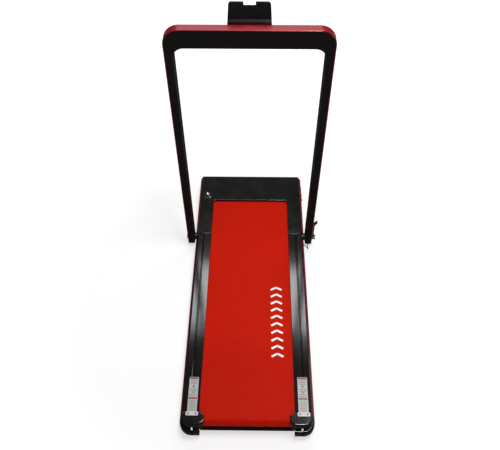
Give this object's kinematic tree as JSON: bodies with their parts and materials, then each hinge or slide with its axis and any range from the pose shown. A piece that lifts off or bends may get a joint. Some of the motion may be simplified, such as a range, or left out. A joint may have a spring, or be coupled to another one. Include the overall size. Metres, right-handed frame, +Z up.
{
  "type": "flat walking treadmill",
  "caption": "Flat motorised walking treadmill with a red belt between black foot rails, a motor hood, and a handrail hoop with a device holder that folds down round the deck.",
  "frame": {"origin": "on the floor, at the middle of the object's box seen from above", "axes": "+Z up; +Y towards the motor end, the way someone on the belt faces; +X to their right"},
  "size_m": [0.598, 1.273, 1.1985],
  "materials": {
    "black_gloss_plastic": "moulded, polished",
    "black_satin_plastic": "moulded, fine texture",
    "black_painted_steel": "satin powder coat",
    "red_paint": "gloss metallic paint",
    "red_belt": "woven-backed PVC with a fine matte texture",
    "rubber": "matte",
    "fibreboard": "waxed top, raw edges",
    "bright_steel": "turned",
    "motor_steel": "dark coated",
    "zinc_plate": "zinc plated",
    "chrome": "polished",
    "aluminium": "mill finish",
    "circuit_board": "solder mask"
  },
  "bodies": {
    "base": {"cable_grommet": "rubber", "console_cable": "rubber", "controller_box": "aluminium", "drive_belt": "rubber", "front_cross_tube": "black_painted_steel", "front_roller_shaft": "bright_steel", "key_socket": "black_satin_plastic", "left_adjusting_bolt": "zinc_plate", "left_deck_cushion": "rubber", "left_end_cap": "black_satin_plastic", "left_foot_rail": "black_satin_plastic", "left_frame_tube": "black_painted_steel", "left_front_foot": "rubber", "left_pivot_bracket": "black_painted_steel", "left_rear_foot": "rubber", "left_side_skirt": "red_paint", "left_wheel_axle": "zinc_plate", "left_wheel_housing": "black_satin_plastic", "motor_can": "motor_steel", "motor_cover": "black_gloss_plastic", "motor_saddle": "zinc_plate", "motor_tray": "black_painted_steel", "power_inlet": "black_satin_plastic", "rear_cross_tube": "black_painted_steel", "rear_guard": "black_satin_plastic", "rear_roller_shaft": "bright_steel", "right_adjusting_bolt": "zinc_plate", "right_deck_cushion": "rubber", "right_end_cap": "black_satin_plastic", "right_foot_rail": "black_satin_plastic", "right_frame_tube": "black_painted_steel", "right_front_foot": "rubber", "right_pivot_bracket": "black_painted_steel", "right_rear_foot": "rubber", "right_side_skirt": "red_paint", "right_wheel_axle": "zinc_plate", "right_wheel_housing": "black_satin_plastic", "running_belt": "red_belt", "running_deck": "fibreboard", "switch_bezel": "black_satin_plastic"},
    "front_roller": {"front_roller": "bright_steel", "roller_pulley": "bright_steel"},
    "rear_roller": {"rear_roller": "bright_steel"},
    "rotor": {"motor_shaft": "bright_steel", "flywheel": "bright_steel"},
    "left_wheel": {"left_wheel": "rubber"},
    "right_wheel": {"right_wheel": "rubber"},
    "rocker": {"rocker_button": "black_satin_plastic"},
    "breaker": {"breaker_button": "black_satin_plastic"},
    "key": {"safety_key": "chrome"},
    "hoop": {"hoop_frame": "red_paint", "hoop_fascia": "black_gloss_plastic", "console_board": "circuit_board", "holder_plate": "black_satin_plastic", "left_upright_plug": "rubber", "right_upright_plug": "rubber", "left_pivot_bolt": "black_painted_steel", "right_pivot_skewer": "chrome", "lever_cam_pin": "zinc_plate"},
    "lever": {"release_lever": "chrome"}
  },
  "joints": [
    {"name": "hoop_fold", "type": "hinge", "parent": "base", "child": "hoop", "pos_m": [0, 0.2815, 0.0605], "axis": [1, 0, 0], "range_deg": [0, 90], "deforming": ["console_cable"]},
    {"name": "lever_release", "type": "hinge", "parent": "hoop", "child": "lever", "pos_m": [0.2975, 0.2815, 0.0605], "axis": [0, 1, 0], "range_deg": [0, 115]},
    {"name": "safety_key_lift", "type": "slide", "parent": "base", "child": "key", "axis": [0, 0, 1], "range_m": [0, 0.025]},
    {"name": "rocker_switch", "type": "hinge", "parent": "base", "child": "rocker", "pos_m": [0.244, 0.5545, 0.043], "axis": [0, -1, 0], "range_deg": [0, 12]},
    {"name": "breaker_reset", "type": "slide", "parent": "base", "child": "breaker", "axis": [-1, 0, 0], "range_m": [0, 0.003], "stiffness_N_per_m": 400},
    {"name": "front_roller_spin", "type": "hinge", "parent": "base", "child": "front_roller", "pos_m": [0, 0.493, 0.0734], "axis": [1, 0, 0], "continuous": true},
    {"name": "rear_roller_spin", "type": "hinge", "parent": "base", "child": "rear_roller", "pos_m": [0, -0.5945, 0.0734], "axis": [1, 0, 0], "continuous": true},
    {"name": "motor_spin", "type": "hinge", "parent": "base", "child": "rotor", "pos_m": [0, 0.566, 0.0655], "axis": [1, 0, 0], "continuous": true},
    {"name": "left_wheel_spin", "type": "hinge", "parent": "base", "child": "left_wheel", "pos_m": [-0.185, 0.592, 0.0185], "axis": [1, 0, 0], "continuous": true},
    {"name": "right_wheel_spin", "type": "hinge", "parent": "base", "child": "right_wheel", "pos_m": [0.185, 0.592, 0.0185], "axis": [1, 0, 0], "continuous": true}
  ],
  "couplings": [
    {"joint": "rear_roller_spin", "follows": "front_roller_spin", "ratio": 1},
    {"joint": "motor_spin", "follows": "front_roller_spin", "ratio": 2.4286}
  ]
}
